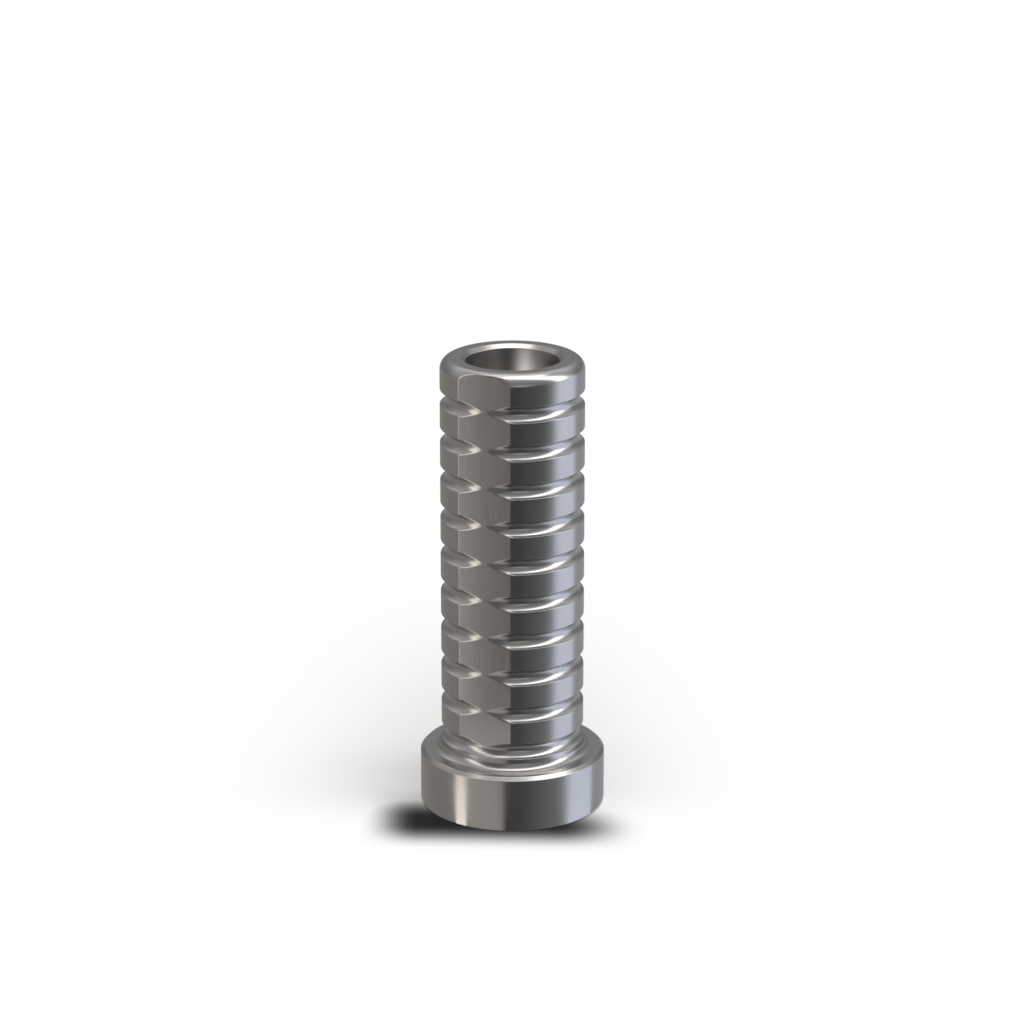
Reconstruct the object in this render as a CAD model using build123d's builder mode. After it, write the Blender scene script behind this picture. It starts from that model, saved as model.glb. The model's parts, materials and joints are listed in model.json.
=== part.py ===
import os
from math import radians, sqrt, tan

from build123d import *

# A turned titanium sleeve that is screwed onto a dental implant abutment and carries a crown.
# All sizes are in millimetres and all angles in degrees.
# The origin is the centre of the seating face, +Z runs up the axis and the flat faces -Y.

# Shaft
total_height = 12.0
shaft_diameter = 3.7
top_edge_radius = 0.3

# Seating flange
flange_overhang = 0.55
flange_height = 1.48
flange_edge_chamfer = 0.09
foot_radius = 0.2  # hollow radius between the shaft and the top of the flange

# Retention grooves, each cut with a round-nosed tool
groove_radius = 0.22
groove_depth = 0.145
groove_pitch = 1.0
top_groove_drop = 1.015  # from the top face to the middle of the first groove

# Flat milled along the shaft, so that the crown can't turn
flat_depth = 0.1455
runout_clearance = 0.0045  # how much deeper than the flat the lowest groove is

# Screw channel
screw_head_diameter = 2.2
screw_thread_diameter = 1.4
screw_clearance = 0.1  # all round the head and all round the thread
channel_mouth_chamfer = 0.1
screw_seat_angle = 90.0  # included angle of the cone under the screw head
screw_hole_length = 0.6

# Conical socket that fits over the cone of the abutment
seat_ring_width = 0.55
socket_depth = 1.1
socket_taper = 20.0  # of the wall, from the axis

# Radii
shaft_radius = shaft_diameter / 2
flange_radius = shaft_radius + flange_overhang
channel_radius = screw_head_diameter / 2 + screw_clearance
screw_hole_radius = screw_thread_diameter / 2 + screw_clearance
socket_mouth_radius = flange_radius - seat_ring_width
socket_end_radius = socket_mouth_radius - socket_depth * tan(radians(socket_taper))
flat_distance = shaft_radius - flat_depth

# Heights inside the sleeve
screw_hole_top = socket_depth + screw_hole_length
screw_seat_rise = (channel_radius - screw_hole_radius) / tan(radians(screw_seat_angle / 2))
screw_seat_top = screw_hole_top + screw_seat_rise

# As many grooves as the pitch leaves room for between the top and the foot of the shaft
runout_groove_depth = flat_depth + runout_clearance
groove_half_width = sqrt(groove_radius**2 - (groove_radius - groove_depth) ** 2)
top_groove_height = total_height - top_groove_drop
groove_room = top_groove_height - groove_half_width - (flange_height + foot_radius)
groove_count = int(groove_room // groove_pitch) + 1
groove_heights = [top_groove_height - index * groove_pitch for index in range(groove_count)]
runout_groove_height = groove_heights.pop()

with BuildPart() as abutment_sleeve:
    # Half section, turned about the axis
    with BuildSketch(Plane.XZ):
        with BuildLine():
            Polyline(
                (socket_mouth_radius, 0),
                (flange_radius, 0),
                (flange_radius, flange_height),
                (shaft_radius, flange_height),
                (shaft_radius, total_height),
                (channel_radius, total_height),
                (channel_radius, screw_seat_top),
                (screw_hole_radius, screw_hole_top),
                (screw_hole_radius, socket_depth),
                (socket_end_radius, socket_depth),
                close=True,
            )
        make_face()
    revolve(axis=Axis.Z)

    # Corners of the top face, from the channel outwards
    rings = abutment_sleeve.edges().filter_by(GeomType.CIRCLE)
    top_rings = rings.filter_by_position(Axis.Z, total_height, total_height)
    chamfer(top_rings.sort_by(SortBy.RADIUS)[0], channel_mouth_chamfer)
    fillet(top_rings.sort_by(SortBy.RADIUS)[-1], top_edge_radius)

    # Corners of the flange's top, from the foot of the shaft outwards
    rings = abutment_sleeve.edges().filter_by(GeomType.CIRCLE)
    flange_rings = rings.filter_by_position(Axis.Z, flange_height, flange_height)
    fillet(flange_rings.sort_by(SortBy.RADIUS)[0], foot_radius)
    chamfer(flange_rings.sort_by(SortBy.RADIUS)[-1], flange_edge_chamfer)

    # Retention grooves, with the lowest one deep enough for the flat to end in it
    with BuildSketch(Plane.XZ):
        with Locations([(shaft_radius - groove_depth + groove_radius, z) for z in groove_heights]):
            Circle(groove_radius)
        with Locations((shaft_radius - runout_groove_depth + groove_radius, runout_groove_height)):
            Circle(groove_radius)
    revolve(axis=Axis.Z, mode=Mode.SUBTRACT)

    # Flat, from the lowest groove up through the top
    with BuildSketch(Plane.XY.offset(runout_groove_height)):
        with Locations((0, -flat_distance)):
            Rectangle(shaft_diameter, shaft_radius, align=(Align.CENTER, Align.MAX))
    extrude(amount=total_height - runout_groove_height, mode=Mode.SUBTRACT)

abutment_sleeve.part.label = "abutment_sleeve"

os.makedirs("parts", exist_ok=True)
export_step(abutment_sleeve.part, "parts/abutment_sleeve.step")
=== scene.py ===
"""A turned titanium sleeve for a screw-retained dental crown, dressed and lit for its portrait.

Lengths are in metres, and those of the part are written in millimetres times MM.
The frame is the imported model's: +Z runs up the axis and the flat faces -Y.
"""

import json
from math import acos, cos, degrees, pi, radians, sin, tan, tau

import bpy
from mathutils import Matrix, Vector


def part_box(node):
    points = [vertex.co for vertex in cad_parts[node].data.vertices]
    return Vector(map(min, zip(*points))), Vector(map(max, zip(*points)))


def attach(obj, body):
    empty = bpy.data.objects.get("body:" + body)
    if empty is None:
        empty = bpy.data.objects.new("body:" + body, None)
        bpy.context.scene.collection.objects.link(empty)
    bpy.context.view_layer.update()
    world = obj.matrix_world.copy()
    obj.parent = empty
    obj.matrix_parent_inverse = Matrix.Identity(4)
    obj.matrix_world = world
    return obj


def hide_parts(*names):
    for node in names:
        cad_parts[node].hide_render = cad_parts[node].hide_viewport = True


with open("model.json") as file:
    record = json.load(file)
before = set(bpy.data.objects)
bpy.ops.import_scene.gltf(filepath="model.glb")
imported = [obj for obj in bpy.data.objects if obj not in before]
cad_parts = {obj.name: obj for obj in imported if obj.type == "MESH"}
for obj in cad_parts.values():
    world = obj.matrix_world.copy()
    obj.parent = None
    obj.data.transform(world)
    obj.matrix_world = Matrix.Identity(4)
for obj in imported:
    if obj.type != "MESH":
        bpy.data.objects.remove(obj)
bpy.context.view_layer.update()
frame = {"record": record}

MM = 0.001
PART = "abutment_sleeve"

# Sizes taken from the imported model
top_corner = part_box(PART)[1]
flange_radius = top_corner.x
total_height = top_corner.z
bores = {mount["name"]: mount["dims"] for mount in frame["record"]["mounts"] if mount["kind"] == "bore"}
channel_radius = bores["screw_channel"]["r_mm"] * MM
screw_hole_radius = bores["screw_hole"]["r_mm"] * MM
screw_hole_length = bores["screw_hole"]["length_mm"] * MM

# Shaft and flange
shaft_radius = 1.85 * MM
top_edge_radius = 0.3 * MM
foot_radius = 0.2 * MM
flange_height = 1.48 * MM
flange_edge_chamfer = 0.09 * MM

# Retention grooves and the flat, which runs out in the lowest groove
groove_radius = 0.22 * MM
groove_depth = 0.145 * MM
runout_groove_depth = 0.15 * MM
groove_pitch = 1.0 * MM
full_groove_count = 9
top_groove_height = total_height - 1.015 * MM
flat_distance = shaft_radius - 0.1455 * MM

# Inside
channel_mouth_chamfer = 0.1 * MM
screw_seat_angle = radians(90.0)
socket_depth = 1.1 * MM
socket_mouth_radius = flange_radius - 0.55 * MM
socket_end_radius = socket_mouth_radius - socket_depth * tan(radians(20.0))

# Deburring leaves small radii on the corners
edge_break = 0.012 * MM
edge_break_points = 4
corner_turn = radians(20.0)  # where the outline turns by more than this, it has a corner
flat_edge_break = 0.013 * MM
slant_widening = 4.0  # of the flat's broken edge, where 1 would keep its width along a slant
widest_break_share = 0.4  # of the half angle that the flat takes

# Steps that the round stretches are drawn in
head_steps = 12
head_steps_past_flat = 6
foot_steps = 14


def add_node(tree, kind, inputs=None, **settings):
    """Adds a node with its settings, and with a value or a link for each input that is named."""
    node = tree.nodes.new(kind)
    for name, value in settings.items():
        setattr(node, name, value)
    for key, value in (inputs or {}).items():
        if isinstance(value, bpy.types.NodeSocket):
            tree.links.new(value, node.inputs[key])
        else:
            node.inputs[key].default_value = value
    return node


def linear(hex_colour):
    """Turns an sRGB hex colour into linear RGBA."""
    parts = [int(hex_colour[i:i + 2], 16) / 255 for i in (1, 3, 5)]
    return [c / 12.92 if c <= 0.04045 else ((c + 0.055) / 1.055) ** 2.4 for c in parts] + [1.0]


# The outline that is turned


def round_stretch(centre, radius, start, end, steps):
    """Points of an arc about centre, from one angle in degrees to another, both ends included."""
    angles = [radians(start + (end - start) * step / steps) for step in range(steps + 1)]
    return [(centre[0] + radius * cos(a), centre[1] + radius * sin(a)) for a in angles]


def section_without_grooves():
    """Half section as (radius, height), from the head of the shaft's wall round to its foot."""
    head_centre = (shaft_radius - top_edge_radius, total_height - top_edge_radius)
    flat_end = degrees(acos((flat_distance - head_centre[0]) / top_edge_radius))
    foot_centre = (shaft_radius + foot_radius, flange_height + foot_radius)
    screw_hole_top = socket_depth + screw_hole_length
    screw_seat_top = screw_hole_top + (channel_radius - screw_hole_radius) / tan(screw_seat_angle / 2)
    return [
        *round_stretch(head_centre, top_edge_radius, 0, flat_end, head_steps),
        *round_stretch(head_centre, top_edge_radius, flat_end, 90, head_steps_past_flat)[1:],
        (channel_radius + channel_mouth_chamfer, total_height),
        (channel_radius, total_height - channel_mouth_chamfer),
        (channel_radius, screw_seat_top),
        (screw_hole_radius, screw_hole_top),
        (screw_hole_radius, socket_depth),
        (socket_end_radius, socket_depth),
        (socket_mouth_radius, 0.0),
        (flange_radius, 0.0),
        (flange_radius, flange_height - flange_edge_chamfer),
        (flange_radius - flange_edge_chamfer, flange_height),
        *round_stretch(foot_centre, foot_radius, 270, 180, foot_steps),
    ]


def new_tree(name, inputs):
    """Makes a Geometry Nodes tree with named inputs and one output of geometry."""
    tree = bpy.data.node_groups.new(name, "GeometryNodeTree")
    for label, kind in inputs.items():
        tree.interface.new_socket(name=label, in_out="INPUT", socket_type="NodeSocket" + kind)
    tree.interface.new_socket(name="Result", in_out="OUTPUT", socket_type="NodeSocketGeometry")
    return tree, add_node(tree, "NodeGroupInput").outputs


def groove_tree():
    """Outline of one groove cut with a round-nosed tool, as a curve beside the wall at radius 0."""
    tree, given = new_tree("groove_outline", {"Radius": "Float", "Depth": "Float", "Points": "Int"})
    overhang = add_node(tree, "ShaderNodeMath", {
        0: given["Radius"], 1: given["Depth"],
    }, operation="SUBTRACT")
    ratio = add_node(tree, "ShaderNodeMath", {
        0: overhang.outputs[0], 1: given["Radius"],
    }, operation="DIVIDE")
    half = add_node(tree, "ShaderNodeMath", {0: ratio.outputs[0]}, operation="ARCCOSINE")
    start = add_node(tree, "ShaderNodeMath", {0: pi, 1: half.outputs[0]}, operation="SUBTRACT")
    sweep = add_node(tree, "ShaderNodeMath", {0: half.outputs[0], 1: 2.0}, operation="MULTIPLY")
    arc = add_node(tree, "GeometryNodeCurveArc", {
        "Resolution": given["Points"], "Radius": given["Radius"],
        "Start Angle": start.outputs[0], "Sweep Angle": sweep.outputs[0],
    }, mode="RADIUS")
    centre = add_node(tree, "ShaderNodeCombineXYZ", {"X": overhang.outputs[0]})
    upright = add_node(tree, "GeometryNodeTransform", {
        "Geometry": arc.outputs["Curve"], "Translation": centre.outputs[0], "Rotation": (pi / 2, 0.0, 0.0),
    })
    add_node(tree, "NodeGroupOutput", {"Result": upright.outputs[0]})
    return tree


def grooved_outline(tree, given):
    """Closed outline of the half section, as a wire: the given points, and the grooves in the wall."""
    groove = groove_tree()
    sizes = {"Radius": given["Groove Radius"], "Points": given["Groove Points"]}
    full = add_node(tree, "GeometryNodeGroup", {**sizes, "Depth": given["Groove Depth"]}, node_tree=groove)
    runout = add_node(tree, "GeometryNodeGroup", {**sizes, "Depth": given["Run-out Depth"]}, node_tree=groove)

    # The full grooves hang below the first one at the pitch, and the run-out groove follows the last
    first = add_node(tree, "ShaderNodeCombineXYZ", {
        "X": given["Shaft Radius"], "Z": given["Top Groove Height"],
    })
    down = add_node(tree, "ShaderNodeMath", {0: given["Groove Pitch"], 1: -1.0}, operation="MULTIPLY")
    step = add_node(tree, "ShaderNodeCombineXYZ", {"Z": down.outputs[0]})
    places = add_node(tree, "GeometryNodeMeshLine", {
        "Count": given["Full Groove Count"], "Start Location": first.outputs[0], "Offset": step.outputs[0],
    })
    cut = add_node(tree, "GeometryNodeInstanceOnPoints", {
        "Points": places.outputs[0], "Instance": full.outputs[0],
    })
    lowest = add_node(tree, "ShaderNodeCombineXYZ", {
        "X": given["Shaft Radius"], "Z": given["Run-out Height"],
    })
    cut_lowest = add_node(tree, "GeometryNodeTransform", {
        "Geometry": runout.outputs[0], "Translation": lowest.outputs[0],
    })
    all_cuts = add_node(tree, "GeometryNodeJoinGeometry")
    tree.links.new(cut.outputs[0], all_cuts.inputs[0])
    tree.links.new(cut_lowest.outputs[0], all_cuts.inputs[0])
    real_cuts = add_node(tree, "GeometryNodeRealizeInstances", {"Geometry": all_cuts.outputs[0]})
    wall = add_node(tree, "GeometryNodeCurveToPoints", {"Curve": real_cuts.outputs[0]}, mode="EVALUATED")

    # The wall's points come first and go up: their place in the order is their height less a metre,
    # which is below 0. The section's own points follow in the order that they are given in
    place = add_node(tree, "GeometryNodeInputPosition")
    height = add_node(tree, "ShaderNodeSeparateXYZ", {0: place.outputs[0]})
    below = add_node(tree, "ShaderNodeMath", {0: height.outputs["Z"], 1: 1.0}, operation="SUBTRACT")
    index = add_node(tree, "GeometryNodeInputIndex")
    section = add_node(tree, "GeometryNodeMeshToPoints", {"Mesh": given["Section"]})
    in_order = add_node(tree, "GeometryNodeJoinGeometry")
    for points, order in ((wall, below), (section, index)):
        ordered = add_node(tree, "GeometryNodeStoreNamedAttribute", {
            "Geometry": points.outputs[0], "Name": "order", "Value": order.outputs[0],
        }, data_type="FLOAT", domain="POINT")
        tree.links.new(ordered.outputs[0], in_order.inputs[0])
    order = add_node(tree, "GeometryNodeInputNamedAttribute", {"Name": "order"}, data_type="FLOAT")
    chain = add_node(tree, "GeometryNodePointsToCurves", {
        "Points": in_order.outputs[0], "Weight": order.outputs[0],
    })
    closed = add_node(tree, "GeometryNodeSetSplineCyclic", {"Geometry": chain.outputs[0], "Cyclic": True})

    # Corners that turn by more than the round stretches do are broken by a small radius
    size = add_node(tree, "GeometryNodeAttributeDomainSize", {0: closed.outputs[0]}, component="CURVE")
    ways = []
    for offset in (-1, 1):
        beside = add_node(tree, "ShaderNodeMath", {0: index.outputs[0], 1: offset}, operation="ADD")
        wrapped = add_node(tree, "ShaderNodeMath", {
            0: beside.outputs[0], 1: size.outputs["Point Count"],
        }, operation="FLOORED_MODULO")
        neighbour = add_node(tree, "GeometryNodeFieldAtIndex", {
            "Index": wrapped.outputs[0], "Value": place.outputs[0],
        }, data_type="FLOAT_VECTOR", domain="POINT")
        way = add_node(tree, "ShaderNodeVectorMath", {
            0: neighbour.outputs[0], 1: place.outputs[0],
        }, operation="SUBTRACT")
        ways.append(add_node(tree, "ShaderNodeVectorMath", {0: way.outputs[0]}, operation="NORMALIZE"))
    facing = add_node(tree, "ShaderNodeVectorMath", {
        0: ways[0].outputs[0], 1: ways[1].outputs[0],
    }, operation="DOT_PRODUCT")
    corner = add_node(tree, "ShaderNodeMath", {
        0: facing.outputs["Value"], 1: -cos(corner_turn),
    }, operation="GREATER_THAN")
    radius = add_node(tree, "ShaderNodeMath", {
        0: corner.outputs[0], 1: given["Edge Break"],
    }, operation="MULTIPLY")
    count = add_node(tree, "ShaderNodeMath", {
        0: corner.outputs[0], 1: edge_break_points,
    }, operation="MULTIPLY")
    broken = add_node(tree, "GeometryNodeFilletCurve", {
        "Curve": closed.outputs[0], "Count": count.outputs[0],
        "Radius": radius.outputs[0], "Limit Radius": True,
    }, mode="POLY")
    wire = add_node(tree, "GeometryNodeCurveToMesh", {"Curve": broken.outputs[0]})
    return add_node(tree, "GeometryNodeMergeByDistance", {
        "Geometry": wire.outputs[0], "Distance": given["Weld Distance"],
    })


def sleeve_tree():
    """Turns the outline about the axis and mills the flat: a grid whose rows follow the outline.

    The grid's columns go once round. The first ones span the flat, and the others the round rest.
    """
    tree, given = new_tree("turned_sleeve", {
        "Section": "Geometry", "Shaft Radius": "Float", "Groove Radius": "Float", "Groove Depth": "Float",
        "Run-out Depth": "Float", "Groove Pitch": "Float", "Full Groove Count": "Int",
        "Top Groove Height": "Float", "Run-out Height": "Float", "Flat Distance": "Float",
        "Edge Break": "Float", "Flat Edge Break": "Float", "Weld Distance": "Float",
        "Groove Points": "Int", "Flat Spans": "Int", "Round Spans": "Int", "Material": "Material",
    })
    wire = grooved_outline(tree, given)
    size = add_node(tree, "GeometryNodeAttributeDomainSize", {0: wire.outputs[0]}, component="MESH")
    rows = add_node(tree, "ShaderNodeMath", {0: size.outputs["Point Count"], 1: 1.0}, operation="ADD")
    spans = add_node(tree, "ShaderNodeMath", {
        0: given["Flat Spans"], 1: given["Round Spans"],
    }, operation="ADD")
    once_round = add_node(tree, "ShaderNodeMath", {0: spans.outputs[0], 1: 2.0}, operation="ADD")
    columns = add_node(tree, "ShaderNodeMath", {0: once_round.outputs[0], 1: 1.0}, operation="ADD")
    grid = add_node(tree, "GeometryNodeMeshGrid", {
        "Vertices X": columns.outputs[0], "Vertices Y": rows.outputs[0],
    })

    # Row and column of each point, where the last of each falls on the first
    index = add_node(tree, "GeometryNodeInputIndex")
    row = add_node(tree, "ShaderNodeMath", {
        0: index.outputs[0], 1: rows.outputs[0],
    }, operation="FLOORED_MODULO")
    row_round = add_node(tree, "ShaderNodeMath", {
        0: row.outputs[0], 1: size.outputs["Point Count"],
    }, operation="FLOORED_MODULO")
    before = add_node(tree, "ShaderNodeMath", {
        0: index.outputs[0], 1: row.outputs[0],
    }, operation="SUBTRACT")
    column = add_node(tree, "ShaderNodeMath", {
        0: before.outputs[0], 1: rows.outputs[0],
    }, operation="DIVIDE")
    column_whole = add_node(tree, "ShaderNodeMath", {0: column.outputs[0]}, operation="ROUND")
    column_round = add_node(tree, "ShaderNodeMath", {
        0: column_whole.outputs[0], 1: once_round.outputs[0],
    }, operation="FLOORED_MODULO")
    place = add_node(tree, "GeometryNodeInputPosition")
    sample = add_node(tree, "GeometryNodeSampleIndex", {
        "Geometry": wire.outputs[0], "Value": place.outputs[0], "Index": row_round.outputs[0],
    }, data_type="FLOAT_VECTOR", domain="POINT")
    point = add_node(tree, "ShaderNodeSeparateXYZ", {0: sample.outputs[0]})
    radius, height = point.outputs["X"], point.outputs["Z"]

    # The outline's own normal there, square to the way from the point before to the point after, so
    # that a long face is shaded straight up to the small broken edge at its end
    beside = []
    for offset in (-1.0, 1.0):
        next_row = add_node(tree, "ShaderNodeMath", {0: row_round.outputs[0], 1: offset}, operation="ADD")
        next_round = add_node(tree, "ShaderNodeMath", {
            0: next_row.outputs[0], 1: size.outputs["Point Count"],
        }, operation="FLOORED_MODULO")
        beside.append(add_node(tree, "GeometryNodeSampleIndex", {
            "Geometry": wire.outputs[0], "Value": place.outputs[0], "Index": next_round.outputs[0],
        }, data_type="FLOAT_VECTOR", domain="POINT"))
    run = add_node(tree, "ShaderNodeVectorMath", {
        0: beside[1].outputs[0], 1: beside[0].outputs[0],
    }, operation="SUBTRACT")
    run_way = add_node(tree, "ShaderNodeVectorMath", {0: run.outputs[0]}, operation="NORMALIZE")
    run_parts = add_node(tree, "ShaderNodeSeparateXYZ", {0: run_way.outputs[0]})
    lift = add_node(tree, "ShaderNodeMath", {0: run_parts.outputs["X"], 1: -1.0}, operation="MULTIPLY")

    # Half angle that the flat takes from a ring: all of it where the flat cuts, and elsewhere the
    # land's, which narrows to nothing towards the ends of the flat so that the columns meet there
    above = add_node(tree, "ShaderNodeMath", {
        0: height, 1: given["Run-out Height"],
    }, operation="GREATER_THAN")
    share = add_node(tree, "ShaderNodeMath", {0: given["Flat Distance"], 1: radius}, operation="DIVIDE")
    share_cut = add_node(tree, "ShaderNodeMath", {0: share.outputs[0], 1: 1.0}, operation="MINIMUM")
    cut_angle = add_node(tree, "ShaderNodeMath", {0: share_cut.outputs[0]}, operation="ARCCOSINE")
    land_share = add_node(tree, "ShaderNodeMath", {
        0: given["Flat Distance"], 1: given["Shaft Radius"],
    }, operation="DIVIDE")
    land_angle = add_node(tree, "ShaderNodeMath", {0: land_share.outputs[0]}, operation="ARCCOSINE")
    inside = add_node(tree, "ShaderNodeMapRange", {
        "Value": radius, "From Min": given["Flat Distance"], "To Min": 0.0, "To Max": land_angle.outputs[0],
    })
    inside_end = add_node(tree, "ShaderNodeMath", {
        0: given["Flat Distance"], 1: given["Groove Depth"],
    }, operation="SUBTRACT")
    tree.links.new(inside_end.outputs[0], inside.inputs["From Max"])
    under_end = add_node(tree, "ShaderNodeMath", {
        0: given["Run-out Height"], 1: given["Groove Radius"],
    }, operation="SUBTRACT")
    under = add_node(tree, "ShaderNodeMapRange", {
        "Value": height, "From Min": given["Run-out Height"], "From Max": under_end.outputs[0],
        "To Min": 0.0, "To Max": land_angle.outputs[0],
    })
    above_angle = add_node(tree, "ShaderNodeMath", {
        0: cut_angle.outputs[0], 1: inside.outputs[0],
    }, operation="MAXIMUM")
    half_angle = add_node(tree, "ShaderNodeMix", {
        "Factor": above.outputs[0], "A": under.outputs[0], "B": above_angle.outputs[0],
    }, data_type="FLOAT")
    is_cut = add_node(tree, "ShaderNodeMath", {
        0: radius, 1: given["Flat Distance"],
    }, operation="GREATER_THAN")
    flat_here = add_node(tree, "ShaderNodeMath", {
        0: above.outputs[0], 1: is_cut.outputs[0],
    }, operation="MULTIPLY")

    # Angle of each point from the middle of the flat, with the edge of the flat broken. The break is
    # wider where the edge slants, as the tool leaves it at the pointed ends of the grooves
    upright_break = add_node(tree, "ShaderNodeMath", {
        0: given["Flat Edge Break"], 1: radius,
    }, operation="DIVIDE")
    tilt = add_node(tree, "ShaderNodeMath", {
        0: lift.outputs[0], 1: run_parts.outputs["Z"],
    }, operation="DIVIDE")
    half_sine = add_node(tree, "ShaderNodeMath", {0: half_angle.outputs[0]}, operation="SINE")
    slant = add_node(tree, "ShaderNodeMath", {
        0: tilt.outputs[0], 1: half_sine.outputs[0],
    }, operation="DIVIDE")
    slant_squared = add_node(tree, "ShaderNodeMath", {0: slant.outputs[0], 1: 2.0}, operation="POWER")
    widening_squared = add_node(tree, "ShaderNodeMath", {
        0: slant_squared.outputs[0], 1: slant_widening, 2: 1.0,
    }, operation="MULTIPLY_ADD")
    widening = add_node(tree, "ShaderNodeMath", {0: widening_squared.outputs[0]}, operation="SQRT")
    slanting_break = add_node(tree, "ShaderNodeMath", {
        0: upright_break.outputs[0], 1: widening.outputs[0],
    }, operation="MULTIPLY")
    room = add_node(tree, "ShaderNodeMath", {
        0: half_angle.outputs[0], 1: widest_break_share,
    }, operation="MULTIPLY")
    room_or_break = add_node(tree, "ShaderNodeMath", {
        0: room.outputs[0], 1: upright_break.outputs[0],
    }, operation="MAXIMUM")
    break_angle = add_node(tree, "ShaderNodeMath", {
        0: slanting_break.outputs[0], 1: room_or_break.outputs[0],
    }, operation="MINIMUM")
    round_start = add_node(tree, "ShaderNodeMath", {
        0: half_angle.outputs[0], 1: break_angle.outputs[0],
    }, operation="ADD")
    flat_stop = add_node(tree, "ShaderNodeMath", {
        0: half_angle.outputs[0], 1: break_angle.outputs[0],
    }, operation="SUBTRACT")
    flat_edge = add_node(tree, "ShaderNodeMath", {0: flat_stop.outputs[0], 1: 0.0}, operation="MAXIMUM")
    across = add_node(tree, "ShaderNodeMapRange", {
        "Value": column_round.outputs[0], "From Min": 0.0, "From Max": given["Flat Spans"],
        "To Min": -1.0, "To Max": 1.0,
    })
    flat_angle = add_node(tree, "ShaderNodeMath", {
        0: across.outputs[0], 1: flat_edge.outputs[0],
    }, operation="MULTIPLY")
    first_round = add_node(tree, "ShaderNodeMath", {0: given["Flat Spans"], 1: 1.0}, operation="ADD")
    last_round = add_node(tree, "ShaderNodeMath", {0: once_round.outputs[0], 1: 1.0}, operation="SUBTRACT")
    round_stop = add_node(tree, "ShaderNodeMath", {0: tau, 1: round_start.outputs[0]}, operation="SUBTRACT")
    round_angle = add_node(tree, "ShaderNodeMapRange", {
        "Value": column_round.outputs[0],
        "From Min": first_round.outputs[0], "From Max": last_round.outputs[0],
        "To Min": round_start.outputs[0], "To Max": round_stop.outputs[0],
    })
    on_flat = add_node(tree, "ShaderNodeMath", {
        0: column_round.outputs[0], 1: first_round.outputs[0],
    }, operation="LESS_THAN")
    angle = add_node(tree, "ShaderNodeMix", {
        "Factor": on_flat.outputs[0], "A": round_angle.outputs[0], "B": flat_angle.outputs[0],
    }, data_type="FLOAT")

    # A point of the ring, or a point of its chord where the flat cuts it
    sine = add_node(tree, "ShaderNodeMath", {0: angle.outputs[0]}, operation="SINE")
    cosine = add_node(tree, "ShaderNodeMath", {0: angle.outputs[0]}, operation="COSINE")
    ring_x = add_node(tree, "ShaderNodeMath", {0: sine.outputs[0], 1: radius}, operation="MULTIPLY")
    ring_y = add_node(tree, "ShaderNodeMath", {0: cosine.outputs[0], 1: radius}, operation="MULTIPLY")
    ring_back = add_node(tree, "ShaderNodeMath", {0: ring_y.outputs[0], 1: -1.0}, operation="MULTIPLY")
    ring = add_node(tree, "ShaderNodeCombineXYZ", {
        "X": ring_x.outputs[0], "Y": ring_back.outputs[0], "Z": height,
    })
    edge_sine = add_node(tree, "ShaderNodeMath", {0: flat_edge.outputs[0]}, operation="SINE")
    half_chord = add_node(tree, "ShaderNodeMath", {
        0: edge_sine.outputs[0], 1: radius,
    }, operation="MULTIPLY")
    chord_x = add_node(tree, "ShaderNodeMath", {
        0: across.outputs[0], 1: half_chord.outputs[0],
    }, operation="MULTIPLY")
    chord_y = add_node(tree, "ShaderNodeMath", {0: given["Flat Distance"], 1: -1.0}, operation="MULTIPLY")
    chord = add_node(tree, "ShaderNodeCombineXYZ", {
        "X": chord_x.outputs[0], "Y": chord_y.outputs[0], "Z": height,
    })
    milled = add_node(tree, "ShaderNodeMath", {
        0: flat_here.outputs[0], 1: on_flat.outputs[0],
    }, operation="MULTIPLY")
    where = add_node(tree, "ShaderNodeMix", {
        "Factor": milled.outputs[0], "A": ring.outputs[0], "B": chord.outputs[0],
    }, data_type="VECTOR")
    shaped = add_node(tree, "GeometryNodeSetPosition", {
        "Geometry": grid.outputs["Mesh"], "Position": where.outputs[1],
    })

    # The normal goes round with the ring, and the flat has its own
    out_x = add_node(tree, "ShaderNodeMath", {
        0: sine.outputs[0], 1: run_parts.outputs["Z"],
    }, operation="MULTIPLY")
    out_y = add_node(tree, "ShaderNodeMath", {
        0: cosine.outputs[0], 1: run_parts.outputs["Z"],
    }, operation="MULTIPLY")
    out_back = add_node(tree, "ShaderNodeMath", {0: out_y.outputs[0], 1: -1.0}, operation="MULTIPLY")
    outwards = add_node(tree, "ShaderNodeCombineXYZ", {
        "X": out_x.outputs[0], "Y": out_back.outputs[0], "Z": lift.outputs[0],
    })
    facing = add_node(tree, "ShaderNodeMix", {
        "Factor": milled.outputs[0], "A": outwards.outputs[0], "B": (0.0, -1.0, 0.0),
    }, data_type="VECTOR")
    noted = add_node(tree, "GeometryNodeStoreNamedAttribute", {
        "Geometry": shaped.outputs[0], "Name": "facing", "Value": facing.outputs[1],
    }, data_type="FLOAT_VECTOR", domain="POINT")

    welded = add_node(tree, "GeometryNodeMergeByDistance", {
        "Geometry": noted.outputs[0], "Distance": given["Weld Distance"],
    })
    smooth = add_node(tree, "GeometryNodeSetShadeSmooth", {"Geometry": welded.outputs[0]})
    kept_facing = add_node(tree, "GeometryNodeInputNamedAttribute", {
        "Name": "facing",
    }, data_type="FLOAT_VECTOR")
    shaded = add_node(tree, "GeometryNodeSetMeshNormal", {
        "Mesh": smooth.outputs[0], "Custom Normal": kept_facing.outputs[0],
    }, mode="FREE", domain="POINT")
    tidied = add_node(tree, "GeometryNodeRemoveAttribute", {
        "Geometry": shaded.outputs[0], "Name": "facing",
    })
    real = add_node(tree, "GeometryNodeRealizeInstances", {"Geometry": tidied.outputs[0]})
    finished = add_node(tree, "GeometryNodeSetMaterial", {
        "Geometry": real.outputs[0], "Material": given["Material"],
    })
    add_node(tree, "NodeGroupOutput", {"Result": finished.outputs[0]})
    return tree


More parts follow.
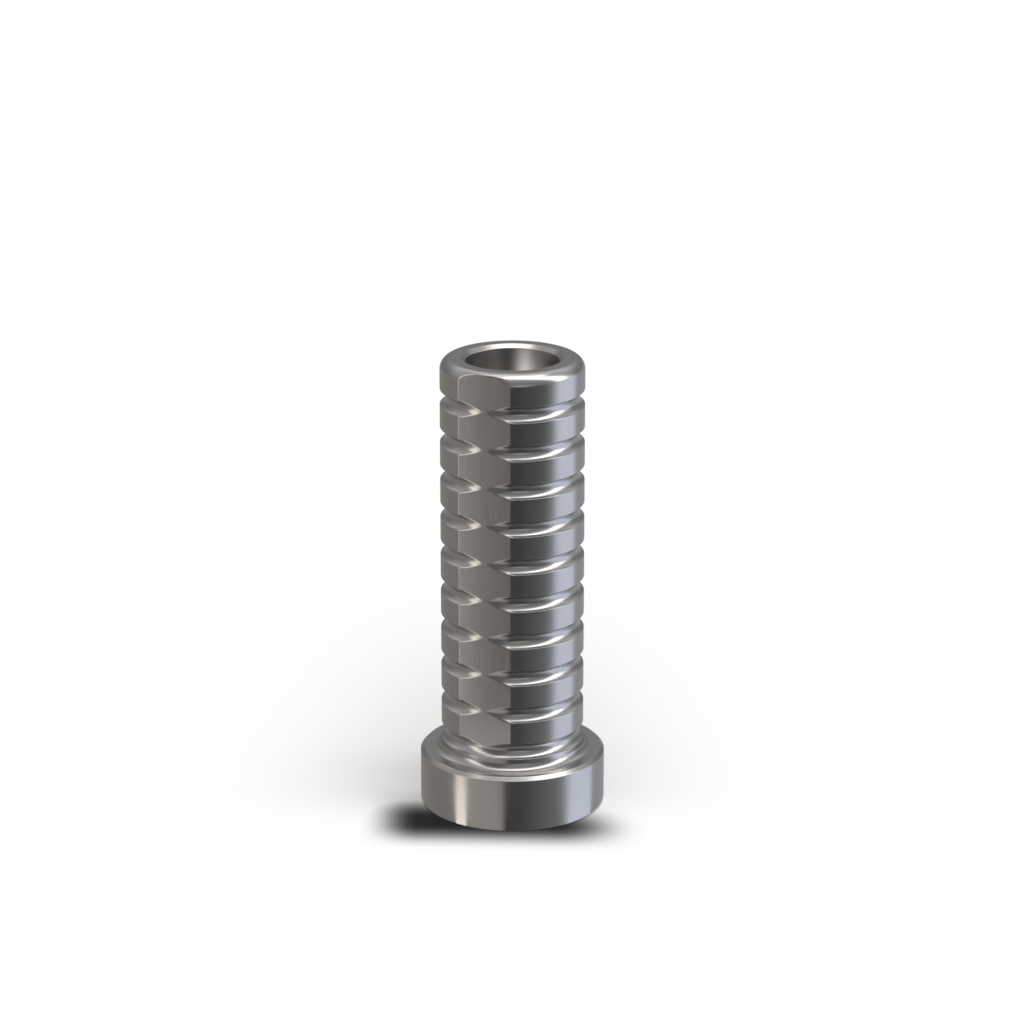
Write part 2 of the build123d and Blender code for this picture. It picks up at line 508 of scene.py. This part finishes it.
def turned_sleeve(material):
    """The whole sleeve, which is one piece of metal."""
    section = [(radius, 0.0, height) for radius, height in section_without_grooves()]
    wire = bpy.data.meshes.new("sleeve_section")
    wire.from_pydata(section, [(i, i + 1) for i in range(len(section) - 1)], [])
    piece = bpy.data.objects.new("titanium_sleeve", wire)
    bpy.context.scene.collection.objects.link(piece)

    tree = sleeve_tree()
    turning = piece.modifiers.new("turning", "NODES")
    turning.node_group = tree
    sizes = {
        "Shaft Radius": shaft_radius,
        "Groove Radius": groove_radius,
        "Groove Depth": groove_depth,
        "Run-out Depth": runout_groove_depth,
        "Groove Pitch": groove_pitch,
        "Full Groove Count": full_groove_count,
        "Top Groove Height": top_groove_height,
        "Run-out Height": top_groove_height - full_groove_count * groove_pitch,
        "Flat Distance": flat_distance,
        "Edge Break": edge_break,
        "Flat Edge Break": flat_edge_break,
        "Weld Distance": 0.00005 * MM,
        "Groove Points": 25,
        "Flat Spans": 16,
        "Round Spans": 150,
        "Material": material,
    }
    for socket in tree.interface.items_tree:
        if socket.in_out == "INPUT" and socket.name in sizes:
            turning[socket.identifier] = sizes[socket.name]

    graph = bpy.context.evaluated_depsgraph_get()
    finished = bpy.data.meshes.new_from_object(piece.evaluated_get(graph), depsgraph=graph)
    finished.materials.pop(index=0)  # the section's own slot, which is empty
    piece.modifiers.clear()
    piece.data = finished
    return piece


# Finishes


def turned_titanium():
    """Ti-6Al-4V titanium, the alloy that such sleeves are turned from.

    The bar is turned on a lathe with a round-nosed tool and left bright. The tool leaves a fine ring
    at each turn, which the eye takes as satin: a grey metal with a touch of warmth, whose highlights
    have soft edges and whose rings only just show. The flat is milled along the shaft, so its marks
    run up and down, and the channel is drilled and bored, which leaves it duller.
    """
    material = bpy.data.materials.new("turned_titanium")
    material.use_nodes = True
    tree = material.node_tree
    tree.nodes.clear()
    place = add_node(tree, "ShaderNodeTexCoord")
    parts = add_node(tree, "ShaderNodeSeparateXYZ", {0: place.outputs["Object"]})
    across = add_node(tree, "ShaderNodeCombineXYZ", {"X": parts.outputs["X"], "Y": parts.outputs["Y"]})
    radius = add_node(tree, "ShaderNodeVectorMath", {0: across.outputs[0]}, operation="LENGTH")

    # The tool's feed in a turn, which is two pixels of the picture
    tool_feed = 0.05 * MM
    turned = add_node(tree, "ShaderNodeCombineXYZ", {"X": radius.outputs["Value"], "Y": parts.outputs["Z"]})
    rings = add_node(tree, "ShaderNodeTexNoise", {
        "Vector": turned.outputs[0], "Scale": 1 / tool_feed, "Detail": 1.0, "Roughness": 0.4,
    }, noise_dimensions="2D")

    # The mill's marks are as fine across the flat and 25 times as long, a millimetre or so
    mark_stretch = 25
    along_flat = add_node(tree, "ShaderNodeMath", {
        0: parts.outputs["Z"], 1: 1 / mark_stretch,
    }, operation="MULTIPLY")
    milled = add_node(tree, "ShaderNodeCombineXYZ", {"X": parts.outputs["X"], "Y": along_flat.outputs[0]})
    streaks = add_node(tree, "ShaderNodeTexNoise", {
        "Vector": milled.outputs[0], "Scale": 1 / tool_feed, "Detail": 1.0, "Roughness": 0.4,
    }, noise_dimensions="2D")
    flat_margin = 0.001 * MM
    as_far_out = add_node(tree, "ShaderNodeMath", {
        0: parts.outputs["Y"], 1: -flat_distance + flat_margin,
    }, operation="LESS_THAN")
    above_flange = add_node(tree, "ShaderNodeMath", {
        0: parts.outputs["Z"], 1: flange_height + foot_radius,
    }, operation="GREATER_THAN")
    on_flat = add_node(tree, "ShaderNodeMath", {
        0: as_far_out.outputs[0], 1: above_flange.outputs[0],
    }, operation="MULTIPLY")
    marks = add_node(tree, "ShaderNodeMix", {
        "Factor": on_flat.outputs[0], "A": rings.outputs[0], "B": streaks.outputs[0],
    }, data_type="FLOAT")

    # Wear of the tool and the wash afterwards leave patches about a millimetre across
    patch_size = 1.0 * MM
    patches = add_node(tree, "ShaderNodeTexNoise", {
        "Vector": place.outputs["Object"], "Scale": 1 / patch_size, "Detail": 2.0,
    })
    colour = add_node(tree, "ShaderNodeMix", {
        "Factor": patches.outputs[0], "A": linear("#BFBDBB"), "B": linear("#C5C3C1"),
    }, data_type="RGBA")
    satin = add_node(tree, "ShaderNodeMapRange", {
        "Value": marks.outputs[0], "From Min": 0.25, "From Max": 0.75, "To Min": 0.22, "To Max": 0.26,
    })
    channel_margin = 0.01 * MM
    bored = add_node(tree, "ShaderNodeMath", {
        0: radius.outputs["Value"], 1: channel_radius + channel_margin,
    }, operation="LESS_THAN")
    roughness = add_node(tree, "ShaderNodeMix", {
        "Factor": bored.outputs[0], "A": satin.outputs[0], "B": 0.27,
    }, data_type="FLOAT")

    # The rings are half a thousandth of a millimetre deep, and the mill's marks a quarter of that
    ring_depth = 0.0005 * MM
    depth_share = add_node(tree, "ShaderNodeMapRange", {
        "Value": on_flat.outputs[0], "To Min": 1.0, "To Max": 0.25,
    })
    height = add_node(tree, "ShaderNodeMath", {
        0: marks.outputs[0], 1: depth_share.outputs[0],
    }, operation="MULTIPLY")
    relief = add_node(tree, "ShaderNodeBump", {
        "Height": height.outputs[0], "Strength": 1.0, "Distance": ring_depth,
    })
    metal = add_node(tree, "ShaderNodeBsdfPrincipled", {
        "Base Color": colour.outputs["Result"], "Metallic": 1.0, "Roughness": roughness.outputs[0],
        "Normal": relief.outputs[0],
    })
    add_node(tree, "ShaderNodeOutputMaterial", {"Surface": metal.outputs[0]})
    return material


# The studio


camera_azimuth = radians(24.65)  # from -Y towards +X
camera_distance = 87.284 * MM  # level, from the axis
camera_height = 36.089 * MM
camera_pitch = radians(17.916)
camera_lens = 125.62  # millimetres, with a sensor 36 mm wide
camera_shift = -0.0004  # share of the picture's width

# Gaps by which the cards clear the floor, the flange and the channel's wall
floor_card_lift = 0.01 * MM
upright_card_lift = 0.02 * MM
flange_gap = 0.05 * MM
channel_gap = 0.01 * MM

floor_reach = 2.0  # each way
floor_card_reach = 4.0  # of its far edge, from the flange
panel_distance = 160 * MM  # of the far panels, from the axis


def seen_from_camera(right, towards, up):
    """A direction or place given to the right of the camera's view, towards the camera, and up."""
    return Vector((
        right * cos(camera_azimuth) + towards * sin(camera_azimuth),
        right * sin(camera_azimuth) - towards * cos(camera_azimuth),
        up,
    ))


def take_picture():
    """The camera, at the photo's viewing angle."""
    data = bpy.data.cameras.new("camera")
    data.sensor_width = 36.0
    data.lens = camera_lens
    data.clip_start = 1 * MM
    data.clip_end = 10.0
    data.shift_x = camera_shift
    camera = bpy.data.objects.new("camera", data)
    camera.location = seen_from_camera(0.0, camera_distance, camera_height)
    camera.rotation_euler = (pi / 2 - camera_pitch, 0.0, camera_azimuth)
    bpy.context.scene.collection.objects.link(camera)
    bpy.context.scene.camera = camera


def softbox(name, low_end, high_end, width, colour, radiance):
    """A long soft lamp between the middles of its two ends, which faces the part."""
    middle = (low_end + high_end) / 2
    along = (high_end - low_end).normalized()
    facing = middle - along * middle.dot(along)
    facing.normalize()
    data = bpy.data.lights.new(name, "AREA")
    data.shape = "RECTANGLE"
    data.size = width
    data.size_y = (high_end - low_end).length
    data.color = linear(colour)[:3]
    data.energy = radiance * pi * data.size * data.size_y  # the power that gives it this radiance
    lamp = bpy.data.objects.new(name, data)
    across = along.cross(facing)
    lamp.matrix_world = Matrix((across, along, facing)).transposed().to_4x4()
    lamp.location = middle
    bpy.context.scene.collection.objects.link(lamp)


def reflector(name, corners, faces, levels, colour, one_sided=False):
    """A card that shows only in the part's polish, and gives off a level of light at each corner.

    A one-sided card does so on its front alone, and lets light through from behind.
    """
    material = bpy.data.materials.new(name)
    material.use_nodes = True
    tree = material.node_tree
    tree.nodes.clear()
    level = add_node(tree, "ShaderNodeAttribute", attribute_name="level")
    surface = add_node(tree, "ShaderNodeEmission", {
        "Color": linear(colour), "Strength": level.outputs["Fac"],
    })
    if one_sided:
        side = add_node(tree, "ShaderNodeNewGeometry")
        clear = add_node(tree, "ShaderNodeBsdfTransparent")
        surface = add_node(tree, "ShaderNodeMixShader", {
            0: side.outputs["Backfacing"], 1: surface.outputs[0], 2: clear.outputs[0],
        })
    add_node(tree, "ShaderNodeOutputMaterial", {"Surface": surface.outputs[0]})

    mesh = bpy.data.meshes.new(name)
    mesh.from_pydata(corners, [], faces)
    mesh.attributes.new("level", "FLOAT", "POINT").data.foreach_set("value", levels)
    mesh.materials.append(material)
    card = bpy.data.objects.new(name, mesh)
    card.visible_camera = False
    card.visible_diffuse = False
    card.visible_shadow = False
    bpy.context.scene.collection.objects.link(card)


def grid_faces(steps, rows):
    """Faces of a grid whose corners are listed step by step, with a number of rows in each."""
    return [
        (first + i, first + i + 1, first + rows + i + 1, first + rows + i)
        for first in range(0, steps * rows, rows) for i in range(rows - 1)
    ]


def floor_card(name, start, end, colour, start_level, end_level, far_share=1.0):
    """A card that lies round the part, just above the floor, and may be dimmer further out.

    It is what the upright walls mirror between two directions, in degrees to the right of the camera.
    A wall that faces half as far round mirrors each of them, so the card's edges start there.
    """
    # Distance from the flange, and share of the level there
    rings = ((0.0, 1.0), (8 * MM, 1.0), (30 * MM, far_share), (floor_card_reach, far_share))
    corners, levels = [], []
    steps = 12
    for step in range(steps + 1):
        share = step / steps
        way = radians(start + (end - start) * share)
        foot = seen_from_camera(sin(way / 2), cos(way / 2), 0.0) * (flange_radius + flange_gap)
        for distance, ring_share in rings:
            place = foot + seen_from_camera(sin(way), cos(way), 0.0) * distance
            corners.append((place.x, place.y, floor_card_lift))
            levels.append((start_level + (end_level - start_level) * share) * ring_share)
    reflector(name, corners, grid_faces(steps, len(rings)), levels, colour)


def upright_card(name, left, right, height, colour, level):
    """A card that stands on the floor from one place to another, both seen from above."""
    corners = [(foot.x, foot.y, up) for up in (upright_card_lift, height) for foot in (left, right)]
    reflector(name, corners, [(0, 1, 3, 2)], [level] * 4, colour)


def far_place(direction):
    """A place on the floor where a panel ends, in degrees to the right of the camera."""
    return seen_from_camera(sin(radians(direction)), cos(radians(direction)), 0.0) * panel_distance


def channel_card():
    """A card round the channel's wall, just under its mouth, which shines inwards only.

    It is what the wall opposite mirrors.
    """
    # Direction in degrees to the right of the camera, and level
    known = (
        (-180, 0.05), (-160, 0.06), (-135, 0.16), (-112, 0.27), (-94, 0.30), (-78, 0.38), (-62, 0.85),
        (-46, 1.22), (-30, 0.80), (-16, 0.28), (0, 0.03), (30, 0.03), (46, 0.16), (62, 0.17), (95, 0.12),
        (160, 0.13), (180, 0.05),
    )
    # Millimetres below the top, and share of the level
    rows = ((0.6, 0.6), (1.1, 0.8), (1.5, 1.5), (2.1, 2.3), (3.2, 2.4), (6.0, 0.5))
    corners, levels = [], []
    steps = 48
    for step in range(steps + 1):
        direction = -180 + 360 * step / steps
        before = max(i for i in range(len(known) - 1) if known[i][0] <= direction)
        (start, low), (end, high) = known[before:before + 2]
        level = low + (high - low) * (direction - start) / (end - start)
        way = radians(direction)
        place = seen_from_camera(sin(way), cos(way), 0.0) * (channel_radius - channel_gap)
        for drop, share in rows:
            corners.append((place.x, place.y, total_height - drop * MM))
            levels.append(level * share)
    inwards = [face[::-1] for face in grid_faces(steps, len(rows))]
    reflector("channel_card", corners, inwards, levels, "#FFFBF8", one_sided=True)


def mouth_card():
    """A level card over the mouth, which the back of the mouth mirrors."""
    level = 2.2
    height, left, right, back, front = 17.5, -2.7, 3.4, -0.8, 1.8  # millimetres
    corners = [
        tuple(seen_from_camera(*corner, height) * MM)
        for corner in ((left, back), (right, back), (right, front), (left, front))
    ]
    reflector("mouth_card", corners, [(0, 1, 2, 3)], [level] * 4, "#FFFFFF")


def pale_floor():
    """A white table, painted matt, which goes over to plain white away from the part.

    Beside and behind the part a faint pool lets the paint's own shade show, in an oval drawn by
    place, and under the front half of the flange a nearly black contact shadow is painted into the
    table's colour.
    """
    material = bpy.data.materials.new("white_table")
    material.use_nodes = True
    tree = material.node_tree
    tree.nodes.clear()
    place = add_node(tree, "ShaderNodeTexCoord")

    # Distances in millimetres along four axes. The last two lie a little askew, as the back and the
    # front of the contact shadow do
    along = []
    for axis in (
        seen_from_camera(1.0, 0.0, 0.0), seen_from_camera(0.0, 1.0, 0.0),
        seen_from_camera(-0.16, 1.0, 0.0), seen_from_camera(-0.04, 1.0, 0.0),
    ):
        side = add_node(tree, "ShaderNodeVectorMath", {
            0: place.outputs["Object"], 1: axis / MM,
        }, operation="DOT_PRODUCT")
        along.append(side.outputs["Value"])
    right, towards, from_back, from_front = along

    # Faint pool of shade, in millimetres: a soft oval drawn by place that ends in front of the part.
    # Inside it the white gives way, so the paint's real shade under the lamps shows. At its reach, a
    # third of the shade is left
    pool_strength = 0.92
    pool_right, reach_right = -0.66, 3.9
    pool_towards, reach_towards = -1.0, 9.6
    beside = add_node(tree, "ShaderNodeMapRange", {
        "Value": right, "From Min": pool_right, "From Max": pool_right + reach_right,
        "To Min": 0.0, "To Max": 1.0,
    }, clamp=False)
    behind = add_node(tree, "ShaderNodeMapRange", {
        "Value": towards, "From Min": pool_towards, "From Max": pool_towards + reach_towards,
        "To Min": 0.0, "To Max": 1.0,
    }, clamp=False)
    offset = add_node(tree, "ShaderNodeCombineXYZ", {"X": beside.outputs[0], "Y": behind.outputs[0]})
    offset_squared = add_node(tree, "ShaderNodeVectorMath", {
        0: offset.outputs[0], 1: offset.outputs[0],
    }, operation="DOT_PRODUCT")
    falling = add_node(tree, "ShaderNodeMath", {
        0: offset_squared.outputs["Value"], 1: -1.0,
    }, operation="MULTIPLY")
    oval = add_node(tree, "ShaderNodeMath", {0: falling.outputs[0]}, operation="EXPONENT")
    not_in_front = add_node(tree, "ShaderNodeMapRange", {
        "Value": towards, "From Min": -0.6, "From Max": 2.6, "To Min": pool_strength, "To Max": 0.0,
    }, interpolation_type="SMOOTHSTEP")
    pool = add_node(tree, "ShaderNodeMath", {
        0: oval.outputs[0], 1: not_in_front.outputs[0],
    }, operation="MULTIPLY")

    # Painted contact shadow, in millimetres, drawn by place into the table's colour: soft on all four
    # sides, and further out on the left. Its tone is the picture's, so a power turns it to linear light
    painted_shadow_darkest_tone = 0.13
    display_power = 2.2
    sides = []
    for value, light, dark in (
        (right, -4.15, -2.4), (right, 3.65, 1.1), (from_back, -0.25, 1.85), (from_front, 3.77, 1.97),
    ):
        sides.append(add_node(tree, "ShaderNodeMapRange", {
            "Value": value, "From Min": light, "From Max": dark, "To Min": 0.0, "To Max": 1.0,
        }, interpolation_type="SMOOTHSTEP").outputs[0])
    across = add_node(tree, "ShaderNodeMath", {0: sides[0], 1: sides[1]}, operation="MULTIPLY")
    deep = add_node(tree, "ShaderNodeMath", {0: sides[2], 1: sides[3]}, operation="MULTIPLY")
    shade = add_node(tree, "ShaderNodeMath", {
        0: across.outputs[0], 1: deep.outputs[0],
    }, operation="MULTIPLY")
    tone = add_node(tree, "ShaderNodeMapRange", {
        "Value": shade.outputs[0], "From Min": 0.0, "From Max": 1.0, "To Min": 1.0, "To Max": painted_shadow_darkest_tone,
    })
    lit = add_node(tree, "ShaderNodeMath", {0: tone.outputs[0], 1: display_power}, operation="POWER")
    painted_contact_shadow = add_node(tree, "ShaderNodeMath", {0: 1.0, 1: lit.outputs[0]}, operation="SUBTRACT")

    # The painted contact shadow darkens the paint's colour towards near black
    colour = add_node(tree, "ShaderNodeMix", {
        "Factor": painted_contact_shadow.outputs[0], "A": linear("#F7F7F7"), "B": linear("#181818"),
    }, data_type="RGBA")
    paint = add_node(tree, "ShaderNodeBsdfDiffuse", {"Color": colour.outputs["Result"]})
    light_path = add_node(tree, "ShaderNodeLightPath")
    camera_or_glossy = add_node(tree, "ShaderNodeMath", {
        0: light_path.outputs["Is Camera Ray"], 1: light_path.outputs["Is Glossy Ray"],
    }, operation="MAXIMUM")
    seen = add_node(tree, "ShaderNodeMath", {
        0: camera_or_glossy.outputs[0], 1: light_path.outputs["Is Transmission Ray"],
    }, operation="MAXIMUM")
    shaded = add_node(tree, "ShaderNodeMath", {
        0: pool.outputs[0], 1: painted_contact_shadow.outputs[0],
    }, operation="MAXIMUM")
    unshaded = add_node(tree, "ShaderNodeMath", {0: 1.0, 1: shaded.outputs[0]}, operation="SUBTRACT")
    white_share = add_node(tree, "ShaderNodeMath", {
        0: seen.outputs[0], 1: unshaded.outputs[0],
    }, operation="MULTIPLY")
    white = add_node(tree, "ShaderNodeEmission", {"Color": (1.0, 1.0, 1.0, 1.0), "Strength": 1.0})
    surface = add_node(tree, "ShaderNodeMixShader", {
        0: white_share.outputs[0], 1: paint.outputs[0], 2: white.outputs[0],
    })
    add_node(tree, "ShaderNodeOutputMaterial", {"Surface": surface.outputs[0]})

    corners = [(x * floor_reach, y * floor_reach, 0.0) for x, y in ((-1, -1), (1, -1), (1, 1), (-1, 1))]
    mesh = bpy.data.meshes.new("floor")
    mesh.from_pydata(corners, [], [(0, 1, 2, 3)])
    mesh.materials.append(material)
    floor = bpy.data.objects.new("floor", mesh)
    bpy.context.scene.collection.objects.link(floor)


def studio_walls():
    """The world: a grey room that grows lighter towards its ceiling.

    The wall behind the part is darker than the others low down, and bright from halfway up.
    """
    world = bpy.data.worlds.new("studio")
    world.use_nodes = True
    tree = world.node_tree
    tree.nodes.clear()
    way = add_node(tree, "ShaderNodeTexCoord")
    parts = add_node(tree, "ShaderNodeSeparateXYZ", {0: way.outputs["Generated"]})

    # Height of the direction, from the horizon at 0 to the zenith at 1, and level
    levels = {
        "front": (
            (0.0, 0.27), (0.42, 0.27), (0.57, 0.30), (0.74, 0.35), (0.84, 0.42), (0.93, 0.62), (1.0, 0.95),
        ),
        "sides": (
            (0.0, 0.28), (0.24, 0.39), (0.44, 0.46), (0.77, 0.48), (0.90, 0.52), (0.96, 0.75), (1.0, 0.95),
        ),
        "behind": (
            (0.0, 0.19), (0.10, 0.22), (0.28, 0.24), (0.42, 0.29), (0.52, 0.45), (0.64, 0.80), (0.87, 0.70),
            (1.0, 0.95),
        ),
    }
    walls = {}
    for name, stops in levels.items():
        wall = add_node(tree, "ShaderNodeValToRGB", {"Fac": parts.outputs["Z"]}, label=name)
        ramp = wall.color_ramp
        for element, (height, level) in zip(ramp.elements, (stops[0], stops[-1])):
            element.position = height
            element.color = (level, level, level, 1.0)
        for height, level in stops[1:-1]:
            ramp.elements.new(height).color = (level, level, level, 1.0)
        walls[name] = wall.outputs[0]

    # Each wall takes over from the one before it, by the cosine of the angle from straight behind
    away = add_node(tree, "ShaderNodeVectorMath", {
        0: way.outputs["Generated"], 1: seen_from_camera(0.0, -1.0, 0.0),
    }, operation="DOT_PRODUCT")
    room = walls["front"]
    for name, start, end in (("sides", -0.3, 0.1), ("behind", 0.3, 0.6)):
        share = add_node(tree, "ShaderNodeMapRange", {
            "Value": away.outputs["Value"], "From Min": start, "From Max": end,
        }, interpolation_type="SMOOTHSTEP")
        mixed = add_node(tree, "ShaderNodeMix", {
            "Factor": share.outputs[0], "A": room, "B": walls[name],
        }, data_type="RGBA")
        room = mixed.outputs["Result"]
    light = add_node(tree, "ShaderNodeBackground", {"Color": room, "Strength": 1.0})
    add_node(tree, "ShaderNodeOutputWorld", {"Surface": light.outputs[0]})
    bpy.context.scene.world = world


sleeve = turned_sleeve(turned_titanium())
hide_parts(PART)
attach(sleeve, "root")

take_picture()
pale_floor()
studio_walls()

# A long lamp that leans over the part from the right, and an upright one at the left
softbox(
    "right_softbox",
    seen_from_camera(142, 12, 26) * MM,
    seen_from_camera(-256, 138, 812) * MM,
    55 * MM, "#FFFFFF", 2.5,
)
softbox(
    "left_softbox",
    seen_from_camera(-138, 59, 0) * MM,
    seen_from_camera(-125, 83, 290) * MM,
    47 * MM, "#FFF8F0", 1.3,
)

# Cards on the floor, from straight behind round by the left: name, the two directions that each lies
# between, colour, level at each of the two, and the share of the level that is left further out
for card in (
    ("far_left_card", -180, -76.5, "#FFFAF5", 0.31, 0.27),
    ("warm_card", -76.5, -61, "#FFF6EC", 1.5, 1.5),
    ("left_card", -61, -15, "#FFFAF5", 0.43, 0.41),
    ("left_edge_card", -15, -8, "#FFFCFA", 0.41, 0.07),
    ("dark_card", -8, 15, "#FFFFFF", 0.06, 0.08, 0.5),
    ("dim_card", 15, 57, "#F8FBFF", 0.09, 0.22, 0.6),
    ("dim_edge_card", 57, 67, "#F4F8FF", 0.22, 0.36, 0.8),
    ("cool_edge_card", 67, 79, "#E9F0FF", 0.36, 1.12),
    ("cool_card", 79, 118.5, "#E4ECFF", 1.12, 1.12),
    ("far_right_card", 118.5, 180, "#F6F8FF", 0.42, 0.42),
):
    floor_card(*card)

# Cards for the channel and its mouth, panels far out, and flags close by that the flat mirrors
channel_card()
mouth_card()
upright_card("cool_panel", far_place(73), far_place(110), 49 * MM, "#E4ECFF", 1.05)
upright_card("front_panel", far_place(0), far_place(27), 25 * MM, "#FFFFFF", 0.80)
for name, left, right, height, colour, level in (
    ("near_flag", (-6.64, 6.00), (-2.4, 10.9), 13.5, "#FFFFFF", 0.135),
    ("foot_flag", (-5.90, 1.92), (-3.82, 4.89), 1.2, "#FFFAF5", 0.38),
):
    feet = [seen_from_camera(*place, 0.0) * MM for place in (left, right)]
    upright_card(name, *feet, height * MM, colour, level)

bpy.context.scene.view_settings.view_transform = "Standard"
